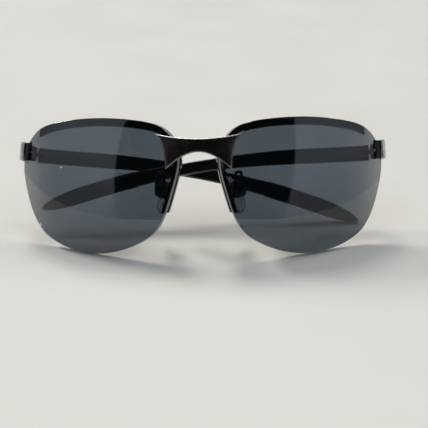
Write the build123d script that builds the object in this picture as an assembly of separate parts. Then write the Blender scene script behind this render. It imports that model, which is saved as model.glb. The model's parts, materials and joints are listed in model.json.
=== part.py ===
"""Wraparound sport sunglasses, folded and leaning back on their lenses and temple tips.

The frame is modelled upright, with the wearer behind it: X to the right as seen from the front,
Y back towards the wearer and Z up. Every right-hand piece is built once and mirrored for the left.
The last step leans the whole pair back into the posture in which it rests on a table.
"""
import os
from math import cos, radians, sin, sqrt

from build123d import *

# Driving dimensions, in millimetres and degrees

# Length of a cut that goes right through whatever it meets
THROUGH = 40.0

# Lenses: base-7.7 spherical shells, turned outwards by the wrap angle
LENS_RADIUS = 68.6
LENS_THICKNESS = 2.0
LENS_CENTRE_X = 39.5
WRAP = 15.0
LENS_TOP = 23.35
LENS_BOTTOM = -25.9
LENS_BOTTOM_END = (19.95, -19.95)
LENS_SIDE = [(24.9, -14.4), (27.9, -7.0), (29.85, 0.0), (31.0, 8.3), (28.3, 16.3), (21.2, 21.2),
             (12.5, 22.7)]

# Half rims: black strips behind the top and nasal edges of each lens, ending short of the clip
RIM_THICKNESS = 1.2
RIM_WIDTH = 2.7
NASAL_WIDTH = 2.1
NASAL_OVERHANG = 0.4
NASAL_FOOT_Z = -10.9
NASAL_STRIP_TOP = 12.0
RIM_END = 24.0
SEAT = 0.03

# Bridge: one bowed plate in front of the lenses, like a bow tie with an arch for the nose
BRIDGE_FRONT_Y = -4.0
BRIDGE_THICKNESS = 1.3
BRIDGE_BOW = 60.0
BRIDGE_TOP = 15.3
WING_TIP = (16.5, 17.5)
BRIDGE_SIDE = [(13.9, 15.6), (12.5, 12.3), (12.0, 8.8)]
FANG_TIP = (11.7, 4.6)
BRIDGE_ARCH = [(9.4, 6.5), (4.9, 9.4)]
ARCH_TOP = 10.6
BRIDGE_CHAMFER = 0.35

# Studs on the bridge's back pass through lens and rim and carry a round nut each
STUD_RADIUS = 0.6
STUD_PLACES = [(-27.9, 12.9), (-28.2, 7.9)]
STUD_AXIS_AT = (-28.0, 10.4)
STUD_PROUD = 0.3
BOSS_RADIUS = 1.2
NUT_RADIUS = 1.3
NUT_LENGTH = 1.1
HOLE_CLEARANCE = 0.06
LUG_RADIUS = 1.7

# Endpieces: a spherical channel that grips the outer edge of the lens, and an arm to the hinge
CLIP_IN = 28.2
CLIP_LOW = 8.4
CLIP_HIGH = 15.2
CLIP_WALL = 0.8
CLIP_WEB = 1.3
CLIP_SCREW = (29.2, 11.6)
CLIP_SCREW_RADIUS = 0.5
CLIP_HEAD_RADIUS = 1.0
CLIP_HEAD_HEIGHT = 0.5
CLIP_SCREW_REACH = 0.4
CLIP_NOTCH_IN = 1.3
CLIP_NOTCH_DEPTH = 2.2
CLIP_NOTCH_WIDTH = 1.0
ARM_INNER = 1.8
ARM_THICKNESS = 1.6
ARM_FRONT = -8.4
ARM_REAR = 1.6
ARM_HEIGHT = 7.0
ARM_CHAMFER = 0.5

# Hinges: three barrels, the outer two on the endpiece and the middle one on the temple
HINGE = (65.4, 23.0, 11.0)
PANTOSCOPIC = 6.0
DROOP_RIGHT = 2.8
DROOP_LEFT = 5.0
BARREL_RADIUS = 1.45
BARREL_TOP = 2.5
BARREL_SPLIT = 0.8
BARREL_GAP = 0.1
HINGE_SCREW_RADIUS = 0.7
RUNNING_CLEARANCE = 0.05
HINGE_HEAD_RADIUS = 1.15
HINGE_HEAD_HEIGHT = 0.5
HINGE_SLOT = 0.3
HINGE_SLOT_DEPTH = 0.25
BASE_INNER = 1.0
BASE_REAR = 0.9
FOLD_RIGHT = 90.0
FOLD_LEFT = 86.5

# Temples: straight from the hinge, then bent down over the ear on one long arc
TEMPLE_INNER = 0.6
TEMPLE_START = 1.8
BEND_START = 35.0
BEND_RADIUS = 298.0
TUCK_START = 60.0
TUCK = 2.0
TIP_END = 129.5
TEMPLE_SECTIONS = [(TEMPLE_START, 5.9, 2.6), (20.0, 5.8, 2.5), (45.0, 5.3, 2.3), (65.0, 4.8, 2.3),
                   (82.0, 5.2, 2.5), (92.0, 5.7, 2.7)]
SLEEVE_START = 92.0
SLEEVE_SIZE = (6.15, 3.05)
SLEEVE_ROUND_FROM = 113.0
SLEEVE_STATIONS = [92.0, 99.0, 106.0, 113.0, 118.0, 122.0, 125.2, 127.6, 129.0, 129.45]
SECTION_CORNER = 0.34
TONGUE_ROOT = 0.5
TONGUE_END = 106.0
TONGUE = (3.4, 1.3)

# Temple hinge leaf, let into the inner face of the temple and riveted there
LEAF_LENGTH = 11.0
LEAF_HEIGHT = 3.4
LEAF_INNER = 0.1
LEAF_OUTER = 0.9
NECK_INNER = 0.8
RIVET_PLACES = [5.0, 8.8]
RIVET_RADIUS = 0.55
RIVET_DEPTH = 2.3
RIVET_HEAD_RADIUS = 0.9
RIVET_HEAD_HEIGHT = 0.35

# Nose pads: clear silicone, rocking on a screw in a metal cup at the end of a goosenecked wire
PAD_CENTRE = (12.6, 10.2, -4.6)
PAD_LEAN = 22.0
PAD_SPLAY = 52.0
PAD_TILT = 0.12
PAD_LENGTH = 14.6
PAD_WIDTH = 8.6
PAD_THICKNESS = 2.2
PAD_CROWN = 26.0
PAD_CHAMFER = 0.5
PAD_DROP = [(0.36, 0.22), (0.5, -0.14)]
TONGUE_GAP = 0.3
TONGUE_ROOM = 1.1
CUP_LENGTH = 6.2
CUP_WIDTH = 5.4
CUP_DEPTH = 2.5
CUP_WALL = 0.6
CUP_CORNER = 1.4
CUP_UP = 1.7
CUP_GAP = 0.5
PIVOT_RADIUS = 0.4
PIVOT_DOWN = 0.85
PIVOT_HEAD = (0.7, 0.35)
WIRE_RADIUS = 0.5
WIRE_BEND = 0.62
WIRE_FOOT = (-27.3, -5.2)
WIRE_FOOT_RADIUS = 1.0
WIRE_FOOT_HEIGHT = 0.6
WIRE_LIFT = 1.6
WIRE_TOP_IN = (13.2, 4.4, 3.5)
WIRE_TOP_OUT = (14.9, 5.2, 3.7)
WIRE_DROP = 1.8
WIRE_BUTTON = (0.9, 0.4)

# Resting posture: lens bottoms and the left temple tip on the table
LEAN = 25.32

# The lens's own frame: X across it, Y into it and Z up it, with the apex of the front at the origin
LENS_PLACE = Location((LENS_CENTRE_X, 0, 0), (0, 0, WRAP))
SPHERE_CENTRE = Vector(0, LENS_RADIUS, 0)


def outline(grow=0.0):
    """The lens outline as a face, moved out by grow: an arc below, a spline up each side and over."""
    right = []
    for x, z in [LENS_BOTTOM_END] + LENS_SIDE:
        stretch = 1 + grow / sqrt(x * x + z * z)
        right.append((x * stretch, z * stretch))
    start = right[0]
    below = ThreePointArc((-start[0], start[1]), (0, LENS_BOTTOM - grow), start)
    side = Spline(*right, (0, LENS_TOP + grow), tangents=(below % 1, (-1, 0)))
    return make_face([below, side, mirror(side, about=Plane.YZ)])


def through_lens(face):
    """A flat face swept straight through the lens from front to back."""
    return Pos(0, -THROUGH / 8, 0) * extrude(Plane.XZ * face, amount=-THROUGH)


def shell(outer, inner):
    """The space between two spheres about the lens's centre of curvature."""
    return Pos(SPHERE_CENTRE) * (Sphere(outer) - Sphere(inner))


def window(left, right, low, high):
    """A rectangle in the lens's own frame, from its edges."""
    return Pos((left + right) / 2, (low + high) / 2) * Rectangle(right - left, high - low)


def lens_normal(place):
    """The outward normal of the lens at a place across and up it."""
    across, up = place
    depth = sqrt(LENS_RADIUS ** 2 - across ** 2 - up ** 2)
    return Vector(across, -depth, up).normalized()


def on_lens(place, radius, direction=None):
    """A plane on the sphere of this radius, facing out of the lens."""
    normal = lens_normal(place)
    return Plane(origin=SPHERE_CENTRE + normal * radius, z_dir=direction or normal)


def rod(plane, radius, start, end):
    """A round rod on a plane's normal, from start to end."""
    return plane * Pos(0, 0, (start + end) / 2) * Cylinder(radius, end - start)


LENS_BACK = LENS_RADIUS - LENS_THICKNESS
RIM_FRONT = LENS_BACK - SEAT
RIM_BACK = RIM_FRONT - RIM_THICKNESS
STUD_AXIS = lens_normal(STUD_AXIS_AT)


def stud_planes():
    return [on_lens(place, LENS_RADIUS, STUD_AXIS) for place in STUD_PLACES]


def lens_holes():
    """Rods that cut the two stud holes and the clip screw's hole."""
    rods = [rod(plane, STUD_RADIUS + HOLE_CLEARANCE, -THROUGH / 4, THROUGH / 4) for plane in stud_planes()]
    clip_plane = on_lens(CLIP_SCREW, LENS_RADIUS)
    rods.append(rod(clip_plane, CLIP_SCREW_RADIUS + HOLE_CLEARANCE, -THROUGH / 4, THROUGH / 4))
    return rods


def lens():
    blank = shell(LENS_RADIUS, LENS_BACK) & through_lens(outline())
    for hole in lens_holes():
        blank -= hole
    return LENS_PLACE * blank


def half_rim():
    """The strip behind the lens: along the top, round the nasal corner and down to a foot."""
    layer = shell(RIM_FRONT, RIM_BACK)
    within = layer & through_lens(outline())
    top = within & through_lens(window(-THROUGH, RIM_END, NASAL_STRIP_TOP, THROUGH))
    side = layer & through_lens(outline(NASAL_OVERHANG)) - through_lens(outline(-NASAL_WIDTH))
    rim = top - through_lens(outline(-RIM_WIDTH))
    rim += side & through_lens(window(-THROUGH, 0, NASAL_FOOT_Z, NASAL_STRIP_TOP))
    for place in STUD_PLACES:
        rim += within & through_lens(Pos(*place) * Circle(LUG_RADIUS))
    for hole in lens_holes():
        rim -= hole
    return LENS_PLACE * rim


def bridge():
    """The bowed plate with its bosses and studs."""
    side = Spline(WING_TIP, *BRIDGE_SIDE, FANG_TIP)
    top = ThreePointArc((-WING_TIP[0], WING_TIP[1]), (0, BRIDGE_TOP), WING_TIP)
    left_arch = [(-x, z) for x, z in BRIDGE_ARCH]
    arch = Spline((-FANG_TIP[0], FANG_TIP[1]), *left_arch, (0, ARCH_TOP), *reversed(BRIDGE_ARCH), FANG_TIP)
    face = make_face([top, side, arch, mirror(side, about=Plane.YZ)])
    slab = Pos(0, -THROUGH / 2, 0) * extrude(Plane.XZ * face, amount=-THROUGH)
    axis_place = Pos(0, BRIDGE_FRONT_Y + BRIDGE_BOW, 0)
    bow = axis_place * (Cylinder(BRIDGE_BOW, THROUGH) - Cylinder(BRIDGE_BOW - BRIDGE_THICKNESS, THROUGH))
    plate = slab & (Pos(0, 0, BRIDGE_TOP) * bow)
    front = plate.faces().sort_by(Axis.Y)[0]
    long_edges = front.edges().filter_by(lambda edge: edge.length > 2 * BRIDGE_TOP - 2 * FANG_TIP[0])
    plate = chamfer(long_edges, BRIDGE_CHAMFER)
    middle = axis_place * Cylinder(BRIDGE_BOW - BRIDGE_THICKNESS / 2, 2 * THROUGH)
    studs = Part()
    for plane in stud_planes():
        boss = rod(plane, BOSS_RADIUS, 0, THROUGH / 8) - Pos(SPHERE_CENTRE) * Sphere(LENS_RADIUS + SEAT)
        pin = rod(plane, STUD_RADIUS, -LENS_THICKNESS - RIM_THICKNESS - NUT_LENGTH - STUD_PROUD, BOSS_RADIUS)
        studs += LENS_PLACE * (boss + pin)
    studs = studs & middle
    return plate + studs + mirror(studs, about=Plane.YZ)


def nuts():
    """Two round nuts behind the right rim, one on each stud."""
    back = -LENS_THICKNESS - RIM_THICKNESS - 4 * SEAT
    made = Part()
    for plane in stud_planes():
        nut = rod(plane, NUT_RADIUS, back - NUT_LENGTH, back)
        made += LENS_PLACE * (nut - rod(plane, STUD_RADIUS + SEAT / 2, -THROUGH, 0))
    return made


def hinge_plane(droop):
    """A hinge's own frame: Z up the hinge pin, Y along the open temple and X out of the side."""
    open_way = Vector(0, cos(radians(PANTOSCOPIC)), -sin(radians(PANTOSCOPIC)))
    folded_way = Vector(-cos(radians(droop)), 0, -sin(radians(droop)))
    pin_way = open_way.cross(folded_way).normalized()
    return Plane(origin=HINGE, x_dir=open_way.cross(pin_way), z_dir=pin_way)


# The pins are set a little apart, so that the folded temples cross one above the other
HINGE_RIGHT = hinge_plane(DROOP_RIGHT)
HINGE_LEFT = hinge_plane(DROOP_LEFT)


def box(x_low, x_high, y_low, y_high, z_low, z_high):
    """A block from its six faces."""
    centre = ((x_low + x_high) / 2, (y_low + y_high) / 2, (z_low + z_high) / 2)
    return Pos(*centre) * Box(x_high - x_low, y_high - y_low, z_high - z_low)


def drum(radius, low, high):
    """A round about the hinge pin, in the hinge's own frame."""
    return Pos(0, 0, (low + high) / 2) * Cylinder(radius, high - low)


def clip():
    """The channel round the lens's outer edge, with a notch in its front flange."""
    back = LENS_BACK - SEAT
    region = outline(CLIP_WEB) & window(CLIP_IN, THROUGH, CLIP_LOW, CLIP_HIGH)
    channel = shell(LENS_RADIUS + SEAT + CLIP_WALL, back - CLIP_WALL) & through_lens(region)
    channel -= shell(LENS_RADIUS + SEAT, back) & through_lens(outline(SEAT))
    half = CLIP_NOTCH_WIDTH / 2
    notch = Polygon((-half, half), (half, half), (0, -CLIP_NOTCH_DEPTH), align=None)
    flange = shell(LENS_RADIUS + 2 * CLIP_WALL, LENS_RADIUS)
    channel -= flange & through_lens(Pos(CLIP_IN + CLIP_NOTCH_IN, CLIP_HIGH) * notch)
    plane = on_lens(CLIP_SCREW, LENS_RADIUS)
    channel -= rod(plane, CLIP_SCREW_RADIUS + SEAT / 2, -THROUGH / 4, CLIP_SCREW_REACH + SEAT)
    return LENS_PLACE * channel


def arm():
    """The side arm from the clip back to the hinge."""
    half = ARM_HEIGHT / 2
    blank = box(ARM_INNER, ARM_INNER + ARM_THICKNESS, ARM_FRONT, ARM_REAR, -half, half)
    outer = blank.faces().sort_by(Axis.X)[-1]
    return chamfer(outer.edges(), ARM_CHAMFER)


def endpiece(hinge):
    """Clip and arm in one casting, for a hinge in this place."""
    room = shell(LENS_RADIUS + SEAT, LENS_BACK - SEAT) & through_lens(outline(SEAT))
    return clip() + (hinge * arm() - LENS_PLACE * room)


def clip_screw():
    """A small screw from behind, through the lens into the front flange."""
    plane = on_lens(CLIP_SCREW, LENS_RADIUS)
    seat = -LENS_THICKNESS - 2 * SEAT - CLIP_WALL
    shank = rod(plane, CLIP_SCREW_RADIUS, seat, CLIP_SCREW_REACH)
    return LENS_PLACE * (shank + rod(plane, CLIP_HEAD_RADIUS, seat - CLIP_HEAD_HEIGHT, seat))


def front_hinge():
    """Base plate and two barrels, brazed to the inside of the endpiece arm."""
    seat = ARM_INNER - SEAT
    cut = BARREL_SPLIT + BARREL_GAP
    base = box(BASE_INNER, seat, -BARREL_RADIUS, BASE_REAR, -BARREL_TOP, BARREL_TOP)
    made = base - drum(BARREL_RADIUS + BARREL_GAP, -cut, cut)
    for low, high in ((cut, BARREL_TOP), (-BARREL_TOP, -cut)):
        made += drum(BARREL_RADIUS, low, high) + box(0, seat, -BARREL_RADIUS, 0, low, high)
    return made - drum(HINGE_SCREW_RADIUS + SEAT / 2, -THROUGH, THROUGH)


def hinge_screw():
    """Pan-headed pin screw, with a slot in its head."""
    top = BARREL_TOP + HINGE_HEAD_HEIGHT
    head = drum(HINGE_HEAD_RADIUS, BARREL_TOP + SEAT, top)
    slot = box(-THROUGH, THROUGH, -HINGE_SLOT / 2, HINGE_SLOT / 2, top - HINGE_SLOT_DEPTH, top + 1)
    return drum(HINGE_SCREW_RADIUS, -BARREL_TOP - HINGE_SLOT, BARREL_TOP + 2 * SEAT) + head - slot


# Temples, modelled open in the hinge's own frame: Y along, X outwards, Z up


def way_down(along):
    """Height of the temple's centre line below the hinge, this far along it."""
    past = max(0.0, along - BEND_START)
    return BEND_RADIUS * (1 - cos(past / BEND_RADIUS))


def section(along, height, thickness):
    """A rounded section square to the temple's centre line."""
    past = max(0.0, along - BEND_START)
    turn = past / BEND_RADIUS
    forward = min(along, BEND_START) + BEND_RADIUS * sin(turn)
    tuck = TUCK * (max(0.0, along - TUCK_START) / (TIP_END - TUCK_START)) ** 2
    middle = TEMPLE_INNER + TEMPLE_SECTIONS[0][2] / 2 - tuck
    centre = (middle, forward, -way_down(along))
    plane = Plane(origin=centre, x_dir=(1, 0, 0), z_dir=(0, cos(turn), -sin(turn)))
    corner = SECTION_CORNER * min(height, thickness)
    return plane * RectangleRounded(thickness, height, corner)


def tongue(grow):
    """The end of the temple's core, which the sleeve is pushed over."""
    stations = (SLEEVE_START - TONGUE_ROOT, SLEEVE_STATIONS[1], TONGUE_END + grow)
    return loft([section(along, TONGUE[0] + grow, TONGUE[1] + grow) for along in stations])


def rivet_rod(radius, along, low, high):
    """A round across the temple, from low to high outwards."""
    return Pos((low + high) / 2, along, 0) * Rot(0, 90, 0) * Cylinder(radius, high - low)


def temple():
    """The side arm's plastic body, with a pocket for the leaf and a tongue for the ear sleeve."""
    body = loft([section(*values) for values in TEMPLE_SECTIONS]) + tongue(0)
    half = LEAF_HEIGHT / 2 + SEAT
    body -= box(0, LEAF_OUTER + SEAT, 0, LEAF_LENGTH + SEAT, -half, half)
    for along in RIVET_PLACES:
        body -= rivet_rod(RIVET_RADIUS + SEAT / 2, along, 0, RIVET_DEPTH + SEAT)
    return body


def ear_sleeve():
    """The soft sleeve over the end of the temple, closed by an elliptical end."""
    rings = []
    for along in SLEEVE_STATIONS:
        past = max(0.0, along - SLEEVE_ROUND_FROM) / (TIP_END - SLEEVE_ROUND_FROM)
        full = sqrt(1 - past ** 2)
        rings.append(section(along, SLEEVE_SIZE[0] * full, SLEEVE_SIZE[1] * full))
    return loft(rings, ruled=True) - tongue(2 * SEAT)


def temple_leaf():
    """The middle barrel and the plate that lies in the temple's pocket."""
    split = BARREL_SPLIT
    half = LEAF_HEIGHT / 2
    made = box(LEAF_INNER, LEAF_OUTER, TEMPLE_START, LEAF_LENGTH, -half, half)
    made += box(LEAF_INNER - NECK_INNER, LEAF_OUTER, 0, TEMPLE_START + LEAF_INNER, -split, split)
    made += drum(BARREL_RADIUS, -split, split)
    made -= drum(HINGE_SCREW_RADIUS + RUNNING_CLEARANCE, -THROUGH, THROUGH)
    for along in RIVET_PLACES:
        made -= rivet_rod(RIVET_RADIUS + SEAT / 2, along, -THROUGH, THROUGH)
    return made


def rivets():
    """Two rivets from the leaf's face into the temple."""
    made = Part()
    for along in RIVET_PLACES:
        made += rivet_rod(RIVET_RADIUS, along, 0, RIVET_DEPTH)
        made += rivet_rod(RIVET_HEAD_RADIUS, along, LEAF_INNER - RIVET_HEAD_HEIGHT, LEAF_INNER)
    return made


# Nose pads. The pad's own frame: Z out of the skin side, Y up its length, X towards the lens

PAD_DOWN = Vector(sin(radians(PAD_LEAN)), PAD_TILT, -cos(radians(PAD_LEAN))).normalized()
PAD_FACE = Vector(-sin(radians(PAD_SPLAY)), cos(radians(PAD_SPLAY)), 0)
PAD_SIDE = PAD_FACE.cross(PAD_DOWN).normalized()
PAD_OUT = PAD_DOWN.cross(PAD_SIDE).normalized()
PAD_PLANE = Plane(origin=PAD_CENTRE, x_dir=PAD_SIDE, z_dir=PAD_OUT)
CUP_TOP = -PAD_THICKNESS / 2 - CUP_GAP
CUP_FLOOR = CUP_TOP - CUP_DEPTH
PIVOT_Z = CUP_TOP - PIVOT_DOWN


def across(radius, length):
    """A round along the pad's rocking axis."""
    return Pos(0, CUP_UP, PIVOT_Z) * Rot(0, 90, 0) * Cylinder(radius, length)


def cup_plan(inset, shorter=0.0):
    """The cup's plan, moved in by inset, and shortened where the pad's tongue has room to rock."""
    plan = Rectangle(CUP_WIDTH - 2 * inset, CUP_LENGTH - 2 * inset - shorter)
    return Pos(0, CUP_UP) * chamfer(plan.vertices(), CUP_CORNER - inset / 2)


def nose_pad():
    """A drop-shaped pad with a crowned skin side and a tongue for the pivot."""
    top = (0, PAD_LENGTH / 2)
    sides = [(PAD_WIDTH * x, PAD_LENGTH * y) for x, y in PAD_DROP]
    drop = Spline(top, *sides, (0, -PAD_LENGTH / 2), tangents=((1, 0), (-1, 0)))
    face = make_face([drop, mirror(drop, about=Plane.YZ)])
    disc = Pos(0, 0, -PAD_THICKNESS / 2) * extrude(face, amount=PAD_THICKNESS)
    disc = disc & Pos(0, 0, PAD_THICKNESS / 2 - PAD_CROWN) * Sphere(PAD_CROWN)
    back = disc.faces().sort_by(Axis.Z)[0]
    disc = chamfer(back.edges(), PAD_CHAMFER)
    low = CUP_FLOOR + CUP_WALL + TONGUE_GAP
    plan = cup_plan(CUP_WALL + TONGUE_GAP / 2, TONGUE_ROOM)
    block = Pos(0, 0, low) * extrude(plan, amount=-PAD_THICKNESS / 2 + CUP_GAP / 2 - low)
    return disc + block - across(PIVOT_RADIUS + RUNNING_CLEARANCE, THROUGH)


def pad_cup():
    """The open metal cup that holds the pad's tongue."""
    cup = Pos(0, 0, CUP_FLOOR) * extrude(cup_plan(0), amount=CUP_DEPTH)
    cup -= Pos(0, 0, CUP_FLOOR + CUP_WALL) * extrude(cup_plan(CUP_WALL), amount=CUP_DEPTH)
    return cup - across(PIVOT_RADIUS + SEAT / 2, THROUGH)


def pad_screw():
    """The cup's screw, on which the pad rocks, with its head on the outside."""
    head_radius, head_height = PIVOT_HEAD
    shank = across(PIVOT_RADIUS, CUP_WIDTH + head_height)
    return shank + Pos(-CUP_WIDTH / 2 - head_height / 2, 0, 0) * across(head_radius, head_height)


def pad_arm():
    """The goosenecked wire from a foot on the rim's nasal strip to the back of the cup."""
    foot_plane = Plane(LENS_PLACE * on_lens(WIRE_FOOT, RIM_BACK - SEAT).location)
    foot = rod(foot_plane, WIRE_FOOT_RADIUS, -WIRE_FOOT_HEIGHT, 0)
    start = foot_plane.origin - foot_plane.z_dir * WIRE_FOOT_HEIGHT / 2
    lift = foot_plane.origin - foot_plane.z_dir * WIRE_LIFT
    end = PAD_PLANE.from_local_coords(Vector(0, CUP_UP, CUP_FLOOR - SEAT))
    before = end - PAD_PLANE.z_dir * WIRE_DROP
    route = FilletPolyline(start, lift, WIRE_TOP_IN, WIRE_TOP_OUT, before, end, radius=WIRE_BEND)
    wire = sweep(Plane(origin=start, z_dir=route % 0) * Circle(WIRE_RADIUS), path=route)
    radius, height = WIRE_BUTTON
    button = PAD_PLANE * Pos(0, CUP_UP, CUP_FLOOR - SEAT - height / 2) * Cylinder(radius, height)
    return foot + wire + button


def mirrored(piece):
    return mirror(piece, about=Plane.YZ)


def build():
    """Every node, upright, by name."""
    right = {
        "lens": lens(),
        "half_rim": half_rim(),
        "pad_arm": pad_arm(),
        "pad_cup": PAD_PLANE * pad_cup(),
        "pad_screw": PAD_PLANE * pad_screw(),
        "nose_pad": PAD_PLANE * nose_pad(),
    }
    nodes = {"bridge": bridge()}
    for name, piece in right.items():
        nodes[name + "_right"] = piece
        nodes[name + "_left"] = mirrored(piece)
    right_nuts, right_screw = nuts(), clip_screw()
    nodes["bridge_nuts"] = right_nuts + mirrored(right_nuts)
    nodes["endpiece_screws"] = right_screw + mirrored(right_screw)
    nodes["endpiece_right"] = endpiece(HINGE_RIGHT)
    nodes["endpiece_left"] = mirrored(endpiece(HINGE_LEFT))
    for name, piece in {"front_hinge": front_hinge(), "hinge_screw": hinge_screw()}.items():
        nodes[name + "_right"] = HINGE_RIGHT * piece
        nodes[name + "_left"] = mirrored(HINGE_LEFT * piece)
    moving = {
        "temple": temple(),
        "ear_sleeve": ear_sleeve(),
        "temple_leaf": temple_leaf(),
        "leaf_rivets": rivets(),
    }
    for name, piece in moving.items():
        nodes[name + "_right"] = HINGE_RIGHT * (Rot(0, 0, FOLD_RIGHT) * piece)
        nodes[name + "_left"] = mirrored(HINGE_LEFT * (Rot(0, 0, FOLD_LEFT) * piece))
    return nodes


nodes = build()
posture = Rot(-LEAN, 0, 0)
leaning = {name: posture * piece for name, piece in nodes.items()}
bounds = Compound(children=[Compound(piece.solids()) for piece in leaning.values()]).bounding_box()
rest = Pos(-bounds.center().X, -bounds.center().Y, -bounds.min.Z) * posture
os.makedirs("parts", exist_ok=True)
for name, piece in nodes.items():
    export_step(rest * piece, f"parts/{name}.step")
print("size", bounds.size)
for name in ("lens_left", "lens_right", "ear_sleeve_left", "ear_sleeve_right"):
    print(name, "stands", round(leaning[name].bounding_box().min.Z - bounds.min.Z, 3), "mm above the table")
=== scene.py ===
# %% [markdown]
# # Wraparound sport sunglasses
# Two smoke lenses hang from a bowed metal bridge. Black half rims lie behind their top edges, a
# metal clip grips each outer edge, and the folded temples lie across the back. The exact solids
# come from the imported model. This notebook gives each of them its real edges and finish, and
# models by hand the soft and turned pieces that a plain solid shows too stiffly.

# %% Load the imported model
import json
from math import cos, radians, sin, sqrt

import bpy
from mathutils import Matrix, Vector
from mathutils.bvhtree import BVHTree


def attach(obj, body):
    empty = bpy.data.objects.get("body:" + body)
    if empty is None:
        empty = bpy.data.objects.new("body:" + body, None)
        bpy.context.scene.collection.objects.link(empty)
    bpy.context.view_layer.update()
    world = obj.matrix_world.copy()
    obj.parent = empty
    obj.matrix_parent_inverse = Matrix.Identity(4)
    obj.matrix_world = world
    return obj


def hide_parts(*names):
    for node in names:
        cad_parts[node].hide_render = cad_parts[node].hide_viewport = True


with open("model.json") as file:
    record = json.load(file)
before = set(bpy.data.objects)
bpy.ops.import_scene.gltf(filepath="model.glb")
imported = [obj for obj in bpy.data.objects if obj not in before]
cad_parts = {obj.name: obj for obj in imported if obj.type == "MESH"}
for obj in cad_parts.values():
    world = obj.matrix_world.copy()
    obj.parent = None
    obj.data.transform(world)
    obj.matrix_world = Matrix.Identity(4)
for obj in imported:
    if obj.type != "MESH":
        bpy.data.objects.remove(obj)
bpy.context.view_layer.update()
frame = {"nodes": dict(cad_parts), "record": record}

nodes = frame["nodes"]
MM = 0.001

# %% [markdown]
# ## The upright frame
# Sunglasses are designed standing upright, but this pair leans back on its lens bottoms and one
# temple tip. A matrix that leans an upright piece back lets every piece be described upright, in
# millimetres, where left and right mirror each other, and be put down where the solids are.

# %% From upright millimetres to the leaning pair
LEAN = 25.32
UPRIGHT_ORIGIN = Vector((0.053, -10.625, 26.673))
leaning = Matrix.Scale(MM, 4) @ Matrix.Translation(UPRIGHT_ORIGIN)
leaning = leaning @ Matrix.Rotation(radians(-LEAN), 4, "X")
standing = leaning.inverted()

tall = [standing @ vertex.co for vertex in nodes["bridge"].data.vertices]
print("the bridge's top edge stands upright at", round(max(place.z for place in tall), 2), "mm")

# %% [markdown]
# ## Camera
# The pair is seen from in front and above, from about two hands away. Distance and lens decide
# how much larger near parts look, so both are set before anything is judged.

# %% The camera
CAMERA_PLACE = (0.013989, -0.234734, 0.134431)
CAMERA_AZIMUTH = 2.268
CAMERA_ELEVATION = 28.263
CAMERA_ROLL = -1.291
CAMERA_LENS, SENSOR_WIDTH = 58.88, 36
NEAREST_SEEN = 0.005

camera_data = bpy.data.cameras.new("camera")
camera_data.sensor_width = SENSOR_WIDTH
camera_data.lens = CAMERA_LENS
camera_data.clip_start = NEAREST_SEEN
camera = bpy.data.objects.new("camera", camera_data)
bpy.context.scene.collection.objects.link(camera)
turned = Matrix.Rotation(radians(CAMERA_AZIMUTH), 4, "Z")
tipped = Matrix.Rotation(radians(90 - CAMERA_ELEVATION), 4, "X")
rolled = Matrix.Rotation(radians(CAMERA_ROLL), 4, "Z")
camera.matrix_world = Matrix.Translation(CAMERA_PLACE) @ turned @ tipped @ rolled
bpy.context.scene.camera = camera
print("camera stands", round(camera.location.length, 3), "m from the pair")

# %% [markdown]
# ## Node helpers
# A finish is a small graph of nodes. Real surfaces are never one flat value, so each finish drives
# its colour, roughness and height from noise laid out in the object's own coordinates. These
# helpers keep that graph short to write: one makes an empty material, one adds noise, and the
# other three turn the noise into a number in a range, a colour between two tones or a relief.

# %% Helpers for materials
NOISE_LOW, NOISE_HIGH = 0.35, 0.65


def new_material(name):
    """An empty material with its shader, ready for nodes."""
    material = bpy.data.materials.new(name)
    material.use_nodes = True
    return material, material.node_tree, material.node_tree.nodes["Principled BSDF"]


def place_noise(tree, scale, detail=2.0, stretch=(1, 1, 1)):
    """Noise in the object's coordinates. A stretch makes grain or brushing of it."""
    coordinates = tree.nodes.new("ShaderNodeTexCoord")
    mapping = tree.nodes.new("ShaderNodeMapping")
    mapping.inputs["Scale"].default_value = stretch
    noise = tree.nodes.new("ShaderNodeTexNoise")
    noise.inputs["Scale"].default_value = scale
    noise.inputs["Detail"].default_value = detail
    tree.links.new(coordinates.outputs["Object"], mapping.inputs["Vector"])
    tree.links.new(mapping.outputs["Vector"], noise.inputs["Vector"])
    return noise.outputs["Fac"]


def fit(tree, value, low, high, start=NOISE_LOW, end=NOISE_HIGH):
    """Fits noise to a range, so that start gives low and end gives high."""
    ranged = tree.nodes.new("ShaderNodeMapRange")
    ranged.inputs["From Min"].default_value = start
    ranged.inputs["From Max"].default_value = end
    ranged.inputs["To Min"].default_value = low
    ranged.inputs["To Max"].default_value = high
    tree.links.new(value, ranged.inputs["Value"])
    return ranged.outputs["Result"]


def tint(tree, value, dark, light):
    """Turns a value into a colour between two tones."""
    ramp = tree.nodes.new("ShaderNodeValToRGB")
    ramp.color_ramp.elements[0].position = NOISE_LOW
    ramp.color_ramp.elements[0].color = (*dark, 1)
    ramp.color_ramp.elements[1].position = NOISE_HIGH
    ramp.color_ramp.elements[1].color = (*light, 1)
    tree.links.new(value, ramp.inputs["Fac"])
    return ramp.outputs["Color"]


def raise_surface(tree, value, height):
    """Turns a value into small hills of this height in metres."""
    bump = tree.nodes.new("ShaderNodeBump")
    bump.inputs["Distance"].default_value = height
    tree.links.new(value, bump.inputs["Height"])
    return bump.outputs["Normal"]


print("noise is used between", NOISE_LOW, "and", NOISE_HIGH)

# %% [markdown]
# ## One builder for solid finishes
# Lacquer, plating, moulded plastic and rubber differ in their numbers, not in their graph: two
# tones in soft patches, a roughness that wanders where hands and cloth have polished it, and a
# fine relief. So one function builds them all, and each call names a real finish.

# %% A builder for opaque finishes
WEAR_FINER, WEAR_DETAIL = 2.7, 3.0


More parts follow.
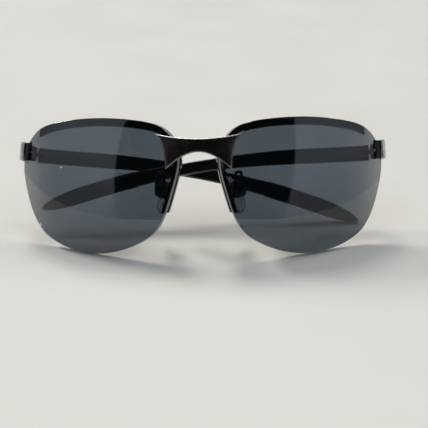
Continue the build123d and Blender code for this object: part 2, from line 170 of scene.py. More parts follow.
def solid_finish(name, dark, light, patch, rough, grain, height, stretch=(1, 1, 1), **sockets):
    """An opaque finish: tones in patches, roughness that wanders and a fine relief."""
    material, tree, shader = new_material(name)
    patches = place_noise(tree, patch)
    tree.links.new(tint(tree, patches, dark, light), shader.inputs["Base Color"])
    wear = place_noise(tree, patch * WEAR_FINER, WEAR_DETAIL, stretch)
    tree.links.new(fit(tree, wear, *rough), shader.inputs["Roughness"])
    relief = place_noise(tree, grain, stretch=stretch)
    tree.links.new(raise_surface(tree, relief, height), shader.inputs["Normal"])
    for socket, value in sockets.items():
        shader.inputs[socket.replace("_", " ")].default_value = value
    print("finish", name)
    return material


print("wear is", WEAR_FINER, "times as fine as the patches of tone")

# %% [markdown]
# ## Smoke lens
# The lens is dyed polycarbonate. Its colour is in the depth of the glass-clear plastic, so it is
# made with transmission, tinted a cool grey. With the distance from the middle of the pair the
# tint is blended to a pale grey towards the outer edge: a painted reflection of the bright room.
# The hard coating has a polishing haze too fine to see, which only makes the roughness wander.
# The cut edge is ground and painted pale, partly for its frosting and partly as a painted
# highlight that draws the pale line along it. That needs a finish of its own.

# %% Lens finishes
LENS_TINT_DARK = (0.085, 0.108, 0.138)
LENS_TINT_LIGHT = (0.095, 0.120, 0.152)
# Painted reflection: the pale grey that the outer part of each lens is blended to.
PAINTED_OUTER_REFLECTION = (0.42, 0.42, 0.41)
PALES_FROM, PALES_TO = 0.050, 0.0705
PALING_POWER = 2.4
POLYCARBONATE_IOR = 1.55
# Pale edge tones: partly a ground edge's frosting, partly a painted highlight along the cut edge.
EDGE_GROUND_HIGHLIGHT_DARK = (0.26, 0.29, 0.32)
EDGE_GROUND_HIGHLIGHT_LIGHT = (0.36, 0.39, 0.42)


def maths(tree, operation, first, second=None):
    """A Math node on one or two inputs, each a number or another node's output."""
    node = tree.nodes.new("ShaderNodeMath")
    node.operation = operation
    for index, value in enumerate((first, second)):
        if isinstance(value, (int, float)):
            node.inputs[index].default_value = value
        elif value is not None:
            tree.links.new(value, node.inputs[index])
    return node.outputs[0]


def blend_colours(tree, amount, first, second):
    """A Mix node between two colours, each a tone or another node's output."""
    mix = tree.nodes.new("ShaderNodeMix")
    mix.data_type = "RGBA"
    tree.links.new(amount, mix.inputs["Factor"])
    for socket, colour in ((mix.inputs["A"], first), (mix.inputs["B"], second)):
        if isinstance(colour, tuple):
            socket.default_value = (*colour, 1)
        else:
            tree.links.new(colour, socket)
    return mix.outputs["Result"]


smoke, tree, shader = new_material("smoke_lens")
dye = place_noise(tree, scale=60)
split = tree.nodes.new("ShaderNodeSeparateXYZ")
tree.links.new(tree.nodes.new("ShaderNodeTexCoord").outputs["Object"], split.inputs["Vector"])
# Painted reflection: the tint pales with the distance out from the middle of the pair.
outwards = fit(tree, maths(tree, "ABSOLUTE", split.outputs["X"]), 0.0, 1.0, PALES_FROM, PALES_TO)
painted_reflection_amount = maths(tree, "POWER", outwards, PALING_POWER)
dyed = tint(tree, dye, LENS_TINT_DARK, LENS_TINT_LIGHT)
tree.links.new(blend_colours(tree, painted_reflection_amount, dyed, PAINTED_OUTER_REFLECTION), shader.inputs["Base Color"])
haze = place_noise(tree, scale=350, detail=4.0)
tree.links.new(fit(tree, haze, low=0.012, high=0.035), shader.inputs["Roughness"])
flow = place_noise(tree, scale=45)
tree.links.new(raise_surface(tree, flow, height=0.00002), shader.inputs["Normal"])
shader.inputs["Transmission Weight"].default_value = 1.0
shader.inputs["IOR"].default_value = POLYCARBONATE_IOR

# The edge finish, pale partly as a painted highlight.
ground_highlit_edge, tree, shader = new_material("ground_highlit_lens_edge")
dust = place_noise(tree, scale=900)
tree.links.new(tint(tree, dust, EDGE_GROUND_HIGHLIGHT_DARK, EDGE_GROUND_HIGHLIGHT_LIGHT), shader.inputs["Base Color"])
grinding = place_noise(tree, scale=5000)
tree.links.new(fit(tree, grinding, low=0.35, high=0.6), shader.inputs["Roughness"])
tree.links.new(raise_surface(tree, grinding, height=0.00002), shader.inputs["Normal"])
shader.inputs["Transmission Weight"].default_value = 0.35
shader.inputs["IOR"].default_value = POLYCARBONATE_IOR
print("finishes", smoke.name, ground_highlit_edge.name)

# %% [markdown]
# ## Black parts
# The half rims are sprayed metal under a gloss coat, with the faint waviness of spray. The
# temples are injection moulded in gloss black, and the sleeves over their ends are a softer,
# slightly duller black that holds its grip.

# %% Black finishes
rim_black = solid_finish("rim_black_lacquer", (0.004, 0.004, 0.005), (0.009, 0.009, 0.011),
                         patch=300, rough=(0.10, 0.20), grain=1500, height=0.000006,
                         Coat_Weight=0.6, Coat_Roughness=0.06)
clip_black = solid_finish("clip_black_lacquer", (0.004, 0.004, 0.004), (0.010, 0.010, 0.010),
                          patch=500, rough=(0.14, 0.26), grain=1800, height=0.000006,
                          Specular_IOR_Level=0.25)
temple_black = solid_finish("temple_gloss_plastic", (0.004, 0.006, 0.007), (0.010, 0.012, 0.013),
                            patch=180, rough=(0.14, 0.26), grain=900, height=0.00001,
                            Coat_Weight=0.3, Coat_Roughness=0.1)
sleeve_black = solid_finish("sleeve_soft_black", (0.007, 0.008, 0.008), (0.014, 0.015, 0.015),
                            patch=250, rough=(0.30, 0.44), grain=4000, height=0.00002)

# %% [markdown]
# ## Metal parts
# The bridge is plated a dark, faintly brown gunmetal and brushed along its length. Its cut edges
# were chamfered after plating, so they are paler. The clips' side plates are polished, and the
# small screws and rivets are turned steel, a little scuffed by the screwdriver.

# %% Metal finishes
bridge_dark = solid_finish("bridge_gunmetal", (0.017, 0.013, 0.015), (0.036, 0.026, 0.029),
                           patch=220, rough=(0.24, 0.40), grain=2600, height=0.000008,
                           stretch=(1, 9, 9), Metallic=0.85, Coat_Weight=0.2, Coat_Roughness=0.15)
bridge_bright = solid_finish("bridge_cut_edge", (0.15, 0.14, 0.14), (0.26, 0.245, 0.245),
                             patch=600, rough=(0.18, 0.32), grain=4000, height=0.000006,
                             stretch=(1, 9, 9), Metallic=1.0)
side_bright = solid_finish("clip_polished_side", (0.66, 0.65, 0.63), (0.78, 0.77, 0.75),
                           patch=400, rough=(0.24, 0.40), grain=3000, height=0.000006,
                           stretch=(1, 7, 1), Metallic=1.0)
hinge_nickel = solid_finish("hinge_dark_nickel", (0.10, 0.10, 0.105), (0.20, 0.20, 0.205),
                            patch=700, rough=(0.25, 0.40), grain=3500, height=0.00001,
                            stretch=(6, 1, 1), Metallic=1.0)
turned_steel = solid_finish("turned_steel", (0.26, 0.26, 0.27), (0.40, 0.40, 0.41),
                            patch=900, rough=(0.16, 0.34), grain=5000, height=0.00001,
                            stretch=(1, 1, 5), Metallic=1.0)
wire_dark = solid_finish("wire_dark_plating", (0.035, 0.033, 0.034), (0.075, 0.072, 0.073),
                         patch=500, rough=(0.22, 0.36), grain=3000, height=0.000008, Metallic=0.9)
cup_dark = solid_finish("cup_dark_plating", (0.030, 0.028, 0.029), (0.060, 0.057, 0.058),
                        patch=450, rough=(0.26, 0.42), grain=2500, height=0.00001, Metallic=0.9)

# %% [markdown]
# ## Clear silicone
# The nose pads are cast in clear silicone. It is never as clear as glass: it is slightly milky in
# clouds, and its skin is a little rough, so it is mostly transmission with a wandering haze.

# %% Silicone finish
MILKY = (0.74, 0.77, 0.78)
CLEAR = (0.88, 0.90, 0.90)
SILICONE_IOR = 1.41

silicone, tree, shader = new_material("clear_silicone")
clouds = place_noise(tree, scale=400, detail=3.0)
tree.links.new(tint(tree, clouds, MILKY, CLEAR), shader.inputs["Base Color"])
tree.links.new(fit(tree, clouds, low=0.16, high=0.34), shader.inputs["Roughness"])
skin = place_noise(tree, scale=2500)
tree.links.new(raise_surface(tree, skin, height=0.00001), shader.inputs["Normal"])
shader.inputs["Transmission Weight"].default_value = 0.86
shader.inputs["IOR"].default_value = SILICONE_IOR
print("finish", silicone.name)

# %% [markdown]
# ## Working on one piece at a time
# Every operator works on what is selected, and loading leaves the solids selected. These helpers
# keep that safe: one makes a single piece active, one picks faces by where they are and where
# they face, and one applies modifiers. Two more cut or join pieces and round their corners. A
# bevel can fling a point far out where it meets a sliver of a face, so such points are put back.

# %% Helpers for modelling
SMOOTH_BELOW = 32
CORNER_FROM, CORNER_STEPS = 35, 2
FLUNG = 1.5


def only(piece):
    """Makes this the one selected and active piece."""
    bpy.ops.object.select_all(action="DESELECT")
    piece.select_set(True)
    bpy.context.view_layer.objects.active = piece


def pick_faces(piece, wanted):
    """Goes into edit mode with the wanted faces selected, judged by centre and normal."""
    only(piece)
    bpy.ops.object.mode_set(mode="EDIT")
    bpy.ops.mesh.select_mode(type="FACE")
    bpy.ops.mesh.select_all(action="DESELECT")
    bpy.ops.object.mode_set(mode="OBJECT")
    for face in piece.data.polygons:
        face.select = wanted(face.center, face.normal)
    bpy.ops.object.mode_set(mode="EDIT")


def apply_modifiers(piece):
    """Applies a piece's modifiers in their order, so that none is left live."""
    only(piece)
    for modifier in list(piece.modifiers):
        bpy.ops.object.modifier_apply(modifier=modifier.name)


def combine(piece, tool, operation):
    """Cuts a piece with a tool, or joins the tool to it, and takes the tool away."""
    joined = piece.modifiers.new("tool", "BOOLEAN")
    joined.operation = operation
    joined.object = tool
    joined.solver = "EXACT"
    bpy.context.view_layer.update()
    apply_modifiers(piece)
    bpy.data.objects.remove(tool)


def shade_smooth(piece):
    """Shades a piece smooth where its faces meet at less than an angle."""
    only(piece)
    bpy.ops.object.shade_smooth_by_angle(angle=radians(SMOOTH_BELOW))


def round_edges(piece, width):
    """Rounds every sharp corner by this many millimetres, and puts points flung out back."""
    places = [vertex.co for vertex in piece.data.vertices]
    faces = [face.vertices for face in piece.data.polygons]
    knife_edged = BVHTree.FromPolygons(places, faces)
    bevel = piece.modifiers.new("edges", "BEVEL")
    bevel.width = width * MM
    bevel.segments = CORNER_STEPS
    bevel.limit_method = "ANGLE"
    bevel.angle_limit = radians(CORNER_FROM)
    bevel.use_clamp_overlap = False
    apply_modifiers(piece)
    for vertex in piece.data.vertices:
        nearest, _, _, away = knife_edged.find_nearest(vertex.co)
        if away > FLUNG * width * MM:
            vertex.co = nearest
    shade_smooth(piece)


print("corners sharper than", CORNER_FROM, "degrees are rounded in", CORNER_STEPS, "steps")

# %% [markdown]
# ## Pieces from the exact solids
# Most pieces have the right shape as they come, but every edge is a knife edge and every face is
# a loose triangle. A copy is merged, so that its faces know their neighbours, and its corners are
# rounded as polishing and plating round the real ones.

# %% Helpers that finish a solid
SAME_POINT = 0.002


def merge_near(piece, distance):
    """Makes one point of points nearer than this many millimetres."""
    only(piece)
    bpy.ops.object.mode_set(mode="EDIT")
    bpy.ops.mesh.select_all(action="SELECT")
    bpy.ops.mesh.remove_doubles(threshold=distance * MM)
    bpy.ops.object.mode_set(mode="OBJECT")


def from_solid(name, rounding):
    """A merged copy of one solid with its corners rounded by this many millimetres."""
    piece = bpy.data.objects.new(name + "_made", nodes[name].data.copy())
    bpy.context.scene.collection.objects.link(piece)
    only(piece)
    bpy.ops.mesh.customdata_custom_splitnormals_clear()
    merge_near(piece, SAME_POINT)
    if rounding:
        round_edges(piece, rounding)
    else:
        shade_smooth(piece)
    return piece


def paint(piece, *materials):
    """Gives a piece its finishes, the first one all over."""
    piece.data.materials.clear()
    for material in materials:
        piece.data.materials.append(material)
    for face in piece.data.polygons:
        face.material_index = 0


def paint_where(piece, index, wanted):
    """Gives one of the finishes to the faces that are wanted, judged upright."""
    turn = standing.to_3x3().normalized()
    count = 0
    for face in piece.data.polygons:
        if wanted(standing @ face.center, turn @ face.normal):
            face.material_index = index
            count += 1
    return count


def settle(piece, stands_for):
    """Says which solid a piece stands for, so that it moves with the same body."""
    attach(piece, stands_for_body[stands_for])
    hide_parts(stands_for)


stands_for_body = {}
for body, names in frame["record"]["behaviour"]["bodies"].items():
    for name in names:
        stands_for_body[name] = body

# %% [markdown]
# ## The brow line
# Seen from the front, the top edges of lens and rim are one long, calm curve, and the eye finds
# the smallest wobble in it. A formula for its height draws it once for both. A sheet is a grid
# whose points are laid out by a function and then thickened. One sheet serves as the tool that
# trims a top edge to the curve, and another is the rim's own band below it.

# %% Brow line and sheets
LENS_RADIUS = 68.6
LENS_THICKNESS = 2.0
LENS_CENTRE_X = 39.5
WRAP = 15.0
BROW_CREST, BROW_FALL = 23.33, 0.0043
CORNER_DROP, CORNER_X, CORNER_POWER = 0.76, 24.0, 9
SHEET_COLUMNS, SHEET_ROWS = 64, 6
TRIM_DEPTH, TRIM_HEIGHT = 30.0, 4.0


def brow(across):
    """The height of the brow line at a place across the lens, in millimetres."""
    corner = CORNER_DROP * (abs(across) / CORNER_X) ** CORNER_POWER
    return BROW_CREST - BROW_FALL * across ** 2 - corner


def lens_frame(sign):
    """From a lens's own millimetres, Y going through it and Z up, to the leaning pair."""
    aside = Matrix.Translation((sign * LENS_CENTRE_X, 0, 0))
    return leaning @ aside @ Matrix.Rotation(sign * radians(WRAP), 4, "Z")


def sheet(place_at, thickness, place):
    """A closed sheet: a grid laid out by a function of two shares from 0 to 1, then thickened."""
    bpy.ops.object.select_all(action="DESELECT")
    bpy.ops.mesh.primitive_grid_add(x_subdivisions=SHEET_COLUMNS, y_subdivisions=SHEET_ROWS, size=1)
    made = bpy.context.object
    for vertex in made.data.vertices:
        vertex.co = place @ Vector(place_at(vertex.co.x + 0.5, vertex.co.y + 0.5))
    walls = made.modifiers.new("thickness", "SOLIDIFY")
    walls.thickness = thickness * MM
    walls.offset = 1
    apply_modifiers(made)
    return made


def trim_top(piece, sign, nasal_reach, outer_reach, below=0.0):
    """Cuts away what stands above the brow line, or above a line this much below it."""
    left, right = sorted((-sign * nasal_reach, sign * outer_reach))

    def place(share_across, share_through):
        across = left + (right - left) * share_across
        return across, (share_through - 0.5) * TRIM_DEPTH, brow(across) - below

    combine(piece, sheet(place, TRIM_HEIGHT, lens_frame(sign)), "DIFFERENCE")


print("brow line from", BROW_CREST, "mm down to", round(brow(CORNER_X), 2))

# %% [markdown]
# ## Lenses
# Each lens is a slice of a sphere. The front and back point along the sphere's radius and the cut
# edge does not, which is how the edge faces are found and given the pale edge finish, partly ground and
# partly a painted highlight.

# %% Lenses
LENS_ROUNDING = 0.18
LENS_TRIM = 15.5
FACE_ALONG_RADIUS = 0.8

wrap = radians(WRAP)
for side, sign in (("left", -1), ("right", 1)):
    lens = from_solid("lens_" + side, 0)
    trim_top(lens, sign, LENS_TRIM, LENS_TRIM)
    round_edges(lens, LENS_ROUNDING)
    paint(lens, smoke, ground_highlit_edge)
    centre_across = sign * (LENS_CENTRE_X - LENS_RADIUS * sin(wrap))
    centre = Vector((centre_across, LENS_RADIUS * cos(wrap), 0))

    def is_edge(place, way):
        return abs(way.dot((place - centre).normalized())) < FACE_ALONG_RADIUS

    # The edge faces get the pale finish, partly a painted highlight.
    count = paint_where(lens, 1, is_edge)
    settle(lens, "lens_" + side)
    print("lens", side, count, "edge faces of", len(lens.data.polygons))

# %% [markdown]
# ## Half rims
# The rim is a black strip that lies behind the lens along its top and down to the nose. The solid
# is trimmed just below the brow line, and the band along the top is a sheet of its own that hugs
# the back of the lens and hangs from the brow by the width of the band. At the nose the rim goes
# on down, so the trim stops inside the band there, and at the outer end it runs past the band.
# Paint softens all the corners.

# %% Half rims
BAND_WIDTH = 2.8
BAND_NASAL_END, BAND_OUTER_END = 22.0, 24.05
BAND_SKIN = 0.01
RIM_BELOW = 0.15
TRIM_SHIFT = 0.5
RIM_THICKNESS = 1.2
RIM_SEAT = 0.03
PAINT_ROUNDING = 0.12


def band_place(left, right):
    """The layout of a band's front between two places across a lens, in its own millimetres."""
    def place(share_across, share_up):
        across = right + (left - right) * share_across
        up = brow(across) - BAND_WIDTH * (1 - share_up)
        radius = LENS_RADIUS - LENS_THICKNESS - RIM_SEAT + BAND_SKIN
        return across, LENS_RADIUS - sqrt(radius ** 2 - across ** 2 - up ** 2), up
    return place


for side, sign in (("left", -1), ("right", 1)):
    rim = from_solid("half_rim_" + side, 0)
    trim_top(rim, sign, BAND_NASAL_END - TRIM_SHIFT, BAND_OUTER_END + TRIM_SHIFT, RIM_BELOW)
    left, right = sorted((-sign * BAND_NASAL_END, sign * BAND_OUTER_END))
    band = sheet(band_place(left, right), RIM_THICKNESS + 2 * BAND_SKIN, lens_frame(sign))
    combine(rim, band, "UNION")
    merge_near(rim, 3 * BAND_SKIN)
    round_edges(rim, PAINT_ROUNDING)
    paint(rim, rim_black)
    settle(rim, "half_rim_" + side)
    print("rim", side, len(rim.data.polygons), "faces")

# %% [markdown]
# ## Bridge
# The bridge is one bowed plate. Only its chamfers and the narrow faces beside them are bright, so
# they are found by their normals: between facing forwards and facing up, down or in.

# %% Bridge
BRIDGE_ROUNDING = 0.06
CHAMFER_FORWARD = (0.3, 0.9)
PLATE_BACK = 5.0


def is_chamfer(place, way):
    """Whether a face of the plate leans between facing forwards and facing its edge."""
    return CHAMFER_FORWARD[0] < -way.y < CHAMFER_FORWARD[1] and place.y < PLATE_BACK


bridge = from_solid("bridge", BRIDGE_ROUNDING)
paint(bridge, bridge_dark, bridge_bright)
count = paint_where(bridge, 1, is_chamfer)
settle(bridge, "bridge")
print("bridge", count, "bright faces of", len(bridge.data.polygons))

# %% [markdown]
# ## Endpieces
# A clip and the arm behind it are one casting with two finishes: black lacquer on the channel
# that grips the lens, and bright polish on the arm's outer side plate.

# %% Endpieces
CLIP_ROUNDING = 0.14
ARM_STARTS = 67.15

for side in ("left", "right"):
    endpiece = from_solid("endpiece_" + side, CLIP_ROUNDING)
    paint(endpiece, clip_black, side_bright)
    count = paint_where(endpiece, 1, lambda place, way: abs(place.x) > ARM_STARTS)
    settle(endpiece, "endpiece_" + side)
    print("endpiece", side, count, "bright faces of", len(endpiece.data.polygons))

# %% [markdown]
# ## Temples and sleeves
# A temple is moulded, so it has no corner to round: its section is already round-cornered, and it
# only needs shading smooth along its length. The sleeve ends are shaded the same way.

# %% Temples and sleeves
for side in ("left", "right"):
    temple = from_solid("temple_" + side, 0)
    paint(temple, temple_black)
    settle(temple, "temple_" + side)
    sleeve = from_solid("ear_sleeve_" + side, 0)
    paint(sleeve, sleeve_black)
    settle(sleeve, "ear_sleeve_" + side)
    print("temple", side, len(temple.data.polygons), "faces, sleeve", len(sleeve.data.polygons))

# %% [markdown]
# ## Hinges, wires and small fasteners
# These small metal parts keep their solids' shapes too. Only the finish and the rounding, in
# millimetres, differ: stamped leaves and turned nuts have a fine broken edge, and a bent wire has
# no edge at all.

# %% Small metal parts
PAIRED_PARTS = {
    "front_hinge": (hinge_nickel, 0.08),
    "temple_leaf": (hinge_nickel, 0.06),
    "leaf_rivets": (turned_steel, 0.08),
    "pad_arm": (wire_dark, 0),
    "pad_cup": (cup_dark, 0.1),
    "pad_screw": (turned_steel, 0.06),
}
SINGLE_PARTS = {"bridge_nuts": (turned_steel, 0.1), "endpiece_screws": (turned_steel, 0.1)}

for kind, (material, rounding) in PAIRED_PARTS.items():
    for side in ("left", "right"):
        name = kind + "_" + side
        piece = from_solid(name, rounding)
        paint(piece, material)
        settle(piece, name)
for name, (material, rounding) in SINGLE_PARTS.items():
    piece = from_solid(name, rounding)
    paint(piece, material)
    settle(piece, name)
print("small parts", 2 * len(PAIRED_PARTS) + len(SINGLE_PARTS))

# %% [markdown]
# ## Hinge screws
# The pin of each hinge is a pan-headed screw. It is modelled by hand: a cylinder for the shank,
# its end face scaled out and extruded into a head, the head's edge bevelled, and a thin block
# cut out for the slot.

# %% Where the hinges are
HINGE = Vector((65.4, 23.0, 11.0))
PANTOSCOPIC = 6.0
DROOP = {"right": 2.8, "left": 5.0}


def hinge_frame(droop):
    """Up the hinge pin in Z, along the open temple in Y, out of the side in X."""
    open_way = Vector((0, cos(radians(PANTOSCOPIC)), -sin(radians(PANTOSCOPIC))))
    folded_way = Vector((-cos(radians(droop)), 0, -sin(radians(droop))))
    pin_way = open_way.cross(folded_way).normalized()
    side_way = open_way.cross(pin_way)
    turn = Matrix((side_way, pin_way.cross(side_way), pin_way)).transposed().to_4x4()
    return Matrix.Translation(HINGE) @ turn


def put_down(piece, upright_frame, side):
    """Moves a finished mesh from its own frame to the leaning pair, mirrored for the left."""
    flip = Matrix.Scale(-1, 4, (1, 0, 0)) if side == "left" else Matrix.Identity(4)
    piece.data.transform(leaning @ flip @ upright_frame)
    if side == "left":
        piece.data.flip_normals()
    shade_smooth(piece)


print("hinge pins", round(HINGE.x, 1), "mm from the middle, drooping by", DROOP, "degrees folded")

# %% The screw
SCREW_SIDES = 48
FACING_UP = 0.9
SHANK_RADIUS, SHANK_LOW, SHANK_TOP = 0.7, -2.8, 2.54
HEAD_RADIUS, HEAD_TOP = 1.15, 3.0
HEAD_ROUNDING, HEAD_STEPS = 0.16, 4
SLOT_LENGTH, SLOT_WIDTH, SLOT_DEPTH = 4, 0.3, 0.25


def make_hinge_screw(side):
    """A pan-headed screw with a slot, modelled along Z and put down in its hinge."""
    bpy.ops.object.select_all(action="DESELECT")
    middle = (0, 0, (SHANK_TOP + SHANK_LOW) / 2)
    bpy.ops.mesh.primitive_cylinder_add(vertices=SCREW_SIDES, radius=SHANK_RADIUS,
                                        depth=SHANK_TOP - SHANK_LOW, location=middle)
    screw = bpy.context.object
    screw.name = "hinge_screw_" + side + "_made"
    bpy.ops.object.transform_apply(location=True)
    pick_faces(screw, lambda centre, normal: normal.z > FACING_UP)
    bpy.ops.mesh.extrude_region_move()
    bpy.ops.transform.resize(value=(HEAD_RADIUS / SHANK_RADIUS,) * 3, center_override=(0, 0, SHANK_TOP))
    bpy.ops.mesh.extrude_region_move(TRANSFORM_OT_translate={"value": (0, 0, HEAD_TOP - SHANK_TOP)})
    bpy.ops.mesh.bevel(offset=HEAD_ROUNDING, segments=HEAD_STEPS)
    bpy.ops.object.mode_set(mode="OBJECT")
    bpy.ops.mesh.primitive_cube_add(size=1, location=(0, 0, HEAD_TOP))
    cutter = bpy.context.object
    cutter.scale = (SLOT_LENGTH, SLOT_WIDTH, 2 * SLOT_DEPTH)
    combine(screw, cutter, "DIFFERENCE")
    paint(screw, turned_steel)
    put_down(screw, hinge_frame(DROOP[side]), side)
    settle(screw, "hinge_screw_" + side)
    return screw


for side in ("left", "right"):
    screw = make_hinge_screw(side)
    print(screw.name, len(screw.data.polygons), "faces")

# %% [markdown]
# ## Nose pads
# A nose pad is a soft drop of silicone with a crowned skin side, a flatter back, and a tongue that
# sits in the metal cup on a cross pin. It is sculpted from a sphere: scaled to its length and
# width, tapered to the narrow top, and pressed flatter behind. The tongue is a bevelled block
# joined to it, and the pin's hole is cut through the tongue.

# %% Where the pads are
PAD_CENTRE = Vector((12.6, 10.2, -4.6))
PAD_LEAN = 22.0
PAD_SPLAY = 52.0
PAD_TILT = 0.12

pad_down = Vector((sin(radians(PAD_LEAN)), PAD_TILT, -cos(radians(PAD_LEAN)))).normalized()
pad_face = Vector((-sin(radians(PAD_SPLAY)), cos(radians(PAD_SPLAY)), 0))
pad_side = pad_face.cross(pad_down).normalized()
pad_out = pad_down.cross(pad_side).normalized()
pad_frame = Matrix((pad_side, -pad_down, pad_out)).transposed().to_4x4()
pad_frame = Matrix.Translation(PAD_CENTRE) @ pad_frame
print("pad centres", round(PAD_CENTRE.x, 1), "mm from the middle")

# %% The pad
PAD_WIDTH, PAD_LENGTH, PAD_CROWN, PAD_BACK = 8.5, 14.5, 1.25, 0.75
PAD_AROUND, PAD_RINGS = 48, 24
TAPER = -0.55
TONGUE_SIZE = (3.8, 3.5, 2.6)
TONGUE_PLACE = (0, 1.7, -1.9)
TONGUE_ROUNDING, TONGUE_STEPS = 0.5, 4
PIVOT_PLACE = (0, 1.7, -2.45)
PIVOT_HOLE, PIVOT_LENGTH, PIVOT_SIDES = 0.45, 8, 32


def add_tongue(pad):
    """Joins the bevelled block that sits in the cup to the pad's back."""
    bpy.ops.mesh.primitive_cube_add(size=1, location=TONGUE_PLACE, scale=TONGUE_SIZE)
    tongue = bpy.context.object
    bpy.ops.object.transform_apply(location=True, rotation=True, scale=True)
    bpy.ops.object.mode_set(mode="EDIT")
    bpy.ops.mesh.select_all(action="SELECT")
    bpy.ops.mesh.bevel(offset=TONGUE_ROUNDING, segments=TONGUE_STEPS)
    bpy.ops.object.mode_set(mode="OBJECT")
    combine(pad, tongue, "UNION")


def cut_pivot_hole(pad):
    """Cuts the hole for the cross pin through the tongue."""
    bpy.ops.mesh.primitive_cylinder_add(vertices=PIVOT_SIDES, radius=PIVOT_HOLE, depth=PIVOT_LENGTH,
                                        location=PIVOT_PLACE, rotation=(0, radians(90), 0))
    rod = bpy.context.object
    bpy.ops.object.transform_apply(location=True, rotation=True, scale=True)
    combine(pad, rod, "DIFFERENCE")


def make_nose_pad(side):
    """A soft drop with its tongue, modelled with its skin side up and put down in its cup."""
    bpy.ops.object.select_all(action="DESELECT")
    bpy.ops.mesh.primitive_uv_sphere_add(segments=PAD_AROUND, ring_count=PAD_RINGS, radius=1,
                                         rotation=(radians(90), 0, 0))
    pad = bpy.context.object
    pad.name = "nose_pad_" + side + "_made"
    bpy.ops.object.transform_apply(rotation=True)
    bpy.ops.object.mode_set(mode="EDIT")
    bpy.ops.mesh.select_all(action="SELECT")
    half_size = (PAD_WIDTH / 2, PAD_LENGTH / 2, PAD_CROWN)
    bpy.ops.transform.resize(value=half_size, center_override=(0, 0, 0))
    bpy.ops.object.mode_set(mode="OBJECT")
    pick_faces(pad, lambda centre, normal: centre.z < 0)
    bpy.ops.transform.resize(value=(1, 1, PAD_BACK / PAD_CROWN), center_override=(0, 0, 0))
    bpy.ops.object.mode_set(mode="OBJECT")
    taper = pad.modifiers.new("taper", "SIMPLE_DEFORM")
    taper.deform_method = "TAPER"
    taper.deform_axis = "Y"
    taper.factor = TAPER
    apply_modifiers(pad)
    add_tongue(pad)
    cut_pivot_hole(pad)
    paint(pad, silicone)
    put_down(pad, pad_frame, side)
    settle(pad, "nose_pad_" + side)
    return pad


for side in ("left", "right"):
    pad = make_nose_pad(side)
    print(pad.name, len(pad.data.polygons), "faces")

# %% [markdown]
# ## Table
# The pair stands on a pale table, which is the whole backdrop. It is faintly mottled and stays
# matt, so that the soft shadows in front of the lenses and under the temples read clearly.

# %% The table
TABLE_SIZE = 6.0
TABLE_DARK = (0.735, 0.716, 0.678)
TABLE_LIGHT = (0.757, 0.737, 0.699)

bpy.ops.object.select_all(action="DESELECT")
bpy.ops.mesh.primitive_plane_add(size=TABLE_SIZE, location=(0, 0, 0))
table = bpy.context.object
table.name = "table"
table_pale, tree, shader = new_material("table_pale")
mottle = place_noise(tree, scale=14, detail=4.0)
tree.links.new(tint(tree, mottle, TABLE_DARK, TABLE_LIGHT), shader.inputs["Base Color"])
tree.links.new(fit(tree, mottle, low=0.55, high=0.7), shader.inputs["Roughness"])
shader.inputs["Specular IOR Level"].default_value = 0.2
paint(table, table_pale)
print("table", table.name)

# %% [markdown]
# ## Light
# Gloss shows what is around it, so the room matters as much as the lamps. The world is a soft room,
# pale above, greyer low on its walls and dark behind the pair, with one dark card standing behind
# the camera. The card's crisp edges draw the dark bands in the middle of the lenses and rims. The
# world's shader knows only directions, so the card is laid out as a lens at the camera would see
# it: how far a direction leans across and up, divided by how far it goes along the camera's axis.

# %% The room
ROOM = (0.74, 0.80, 0.86)
ROOM_LOW = (0.50, 0.53, 0.57)
ROOM_BEHIND = (0.13, 0.13, 0.13)
WALL_MIDDLE, WALL_EDGE = 0.36, 0.26
FRONT_MIDDLE, FRONT_EDGE = -0.1, 0.5
ROOM_STRENGTH = 0.8
CARD = (0.035, 0.037, 0.04)
CARD_LEFT, CARD_LEFT_LEAN = -0.44, 0.077
CARD_RIGHT, CARD_RIGHT_LEAN = 0.44, 0.155
CARD_EDGE = 0.02
CARD_TOP, CARD_TOP_EDGE = 1.5, 0.4
CARD_AHEAD_EDGE = 0.1

scene = bpy.context.scene
scene.view_settings.view_transform = "Standard"
world = bpy.data.worlds.new("room")
scene.world = world
world.use_nodes = True
tree = world.node_tree
background = tree.nodes["Background"]


def along(direction, way):
    """How much of a direction goes this way."""
    node = tree.nodes.new("ShaderNodeVectorMath")
    node.operation = "DOT_PRODUCT"
    node.inputs[1].default_value = way
    tree.links.new(direction, node.inputs[0])
    return node.outputs["Value"]


def step_up(value, edge):
    """0 well below zero and 1 well above it, softly over this edge."""
    node = tree.nodes.new("ShaderNodeMapRange")
    node.interpolation_type = "SMOOTHSTEP"
    node.inputs["From Min"].default_value = -edge
    node.inputs["From Max"].default_value = edge
    tree.links.new(value, node.inputs["Value"])
    return node.outputs["Result"]


axis = Vector((0, -cos(radians(CAMERA_ELEVATION)), sin(radians(CAMERA_ELEVATION))))
up = Vector((0, sin(radians(CAMERA_ELEVATION)), cos(radians(CAMERA_ELEVATION))))
direction = tree.nodes.new("ShaderNodeTexCoord").outputs["Generated"]
ahead = along(direction, axis)
across = maths(tree, "DIVIDE", along(direction, (1, 0, 0)), ahead)
above = maths(tree, "DIVIDE", along(direction, up), ahead)
left_edge = maths(tree, "ADD", maths(tree, "MULTIPLY", above, CARD_LEFT_LEAN), CARD_LEFT)
right_edge = maths(tree, "ADD", maths(tree, "MULTIPLY", above, CARD_RIGHT_LEAN), CARD_RIGHT)
inside_left = step_up(maths(tree, "SUBTRACT", across, left_edge), CARD_EDGE)
inside_right = step_up(maths(tree, "SUBTRACT", right_edge, across), CARD_EDGE)
below_top = step_up(maths(tree, "SUBTRACT", CARD_TOP, above), CARD_TOP_EDGE)
sides = maths(tree, "MULTIPLY", inside_left, inside_right)
ends = maths(tree, "MULTIPLY", below_top, step_up(ahead, CARD_AHEAD_EDGE))
height = along(direction, (0, 0, 1))
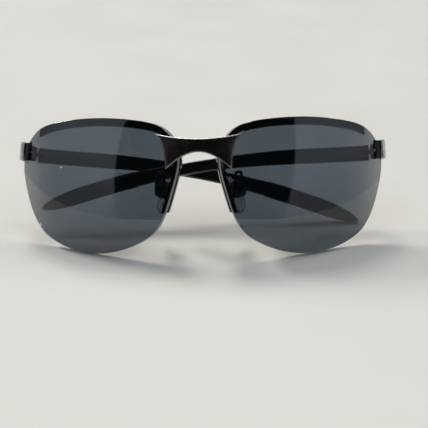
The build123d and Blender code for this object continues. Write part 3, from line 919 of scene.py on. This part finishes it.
high_up = step_up(maths(tree, "SUBTRACT", height, WALL_MIDDLE), WALL_EDGE)
in_front = step_up(maths(tree, "SUBTRACT", ahead, FRONT_MIDDLE), FRONT_EDGE)
room = blend_colours(tree, high_up, ROOM_LOW, ROOM)
room = blend_colours(tree, in_front, ROOM_BEHIND, room)
room = blend_colours(tree, maths(tree, "MULTIPLY", sides, ends), room, CARD)
tree.links.new(room, background.inputs["Color"])
background.inputs["Strength"].default_value = ROOM_STRENGTH
print("room with a card from", CARD_LEFT, "to", CARD_RIGHT)

# %% [markdown]
# ## Lamps
# Three broad lamps stand for windows behind the pair and off to both sides. Each throws a soft
# shadow of the dark lenses over the table, and the shadow is deepest where they fall together. A
# tiny lamp at the left lights nothing much, and is there to be seen: it is the small bright spot
# in one lens.

# %% The lamps
def sun_from(name, azimuth, elevation, strength, spread, colour):
    """A broad far lamp, seen from the pair in this direction, azimuth 0 being in front."""
    data = bpy.data.lights.new(name, "SUN")
    data.energy = strength
    data.color = colour
    data.angle = radians(spread)
    lamp = bpy.data.objects.new(name, data)
    scene.collection.objects.link(lamp)
    aim = Matrix.Rotation(radians(azimuth), 4, "Z")
    lamp.matrix_world = aim @ Matrix.Rotation(radians(90 - elevation), 4, "X")


def spot_at(name, azimuth, elevation, distance, size, watts):
    """A tiny white lamp in this direction, this many metres away."""
    data = bpy.data.lights.new(name, "POINT")
    data.shadow_soft_size = size
    data.energy = watts
    lamp = bpy.data.objects.new(name, data)
    scene.collection.objects.link(lamp)
    flat = cos(radians(elevation))
    way = Vector((sin(radians(azimuth)) * flat, -cos(radians(azimuth)) * flat, sin(radians(elevation))))
    lamp.location = way * distance


sun_from("window", -165, 53, strength=1.02, spread=14, colour=(1.0, 0.96, 0.90))
sun_from("left_window", -122, 34, strength=1.50, spread=14, colour=(1.0, 0.96, 0.91))
sun_from("right_window", 122, 46, strength=0.42, spread=16, colour=(1.0, 0.97, 0.93))
spot_at("small_lamp", -71.1, 19.1, distance=0.8, size=0.005, watts=0.03)
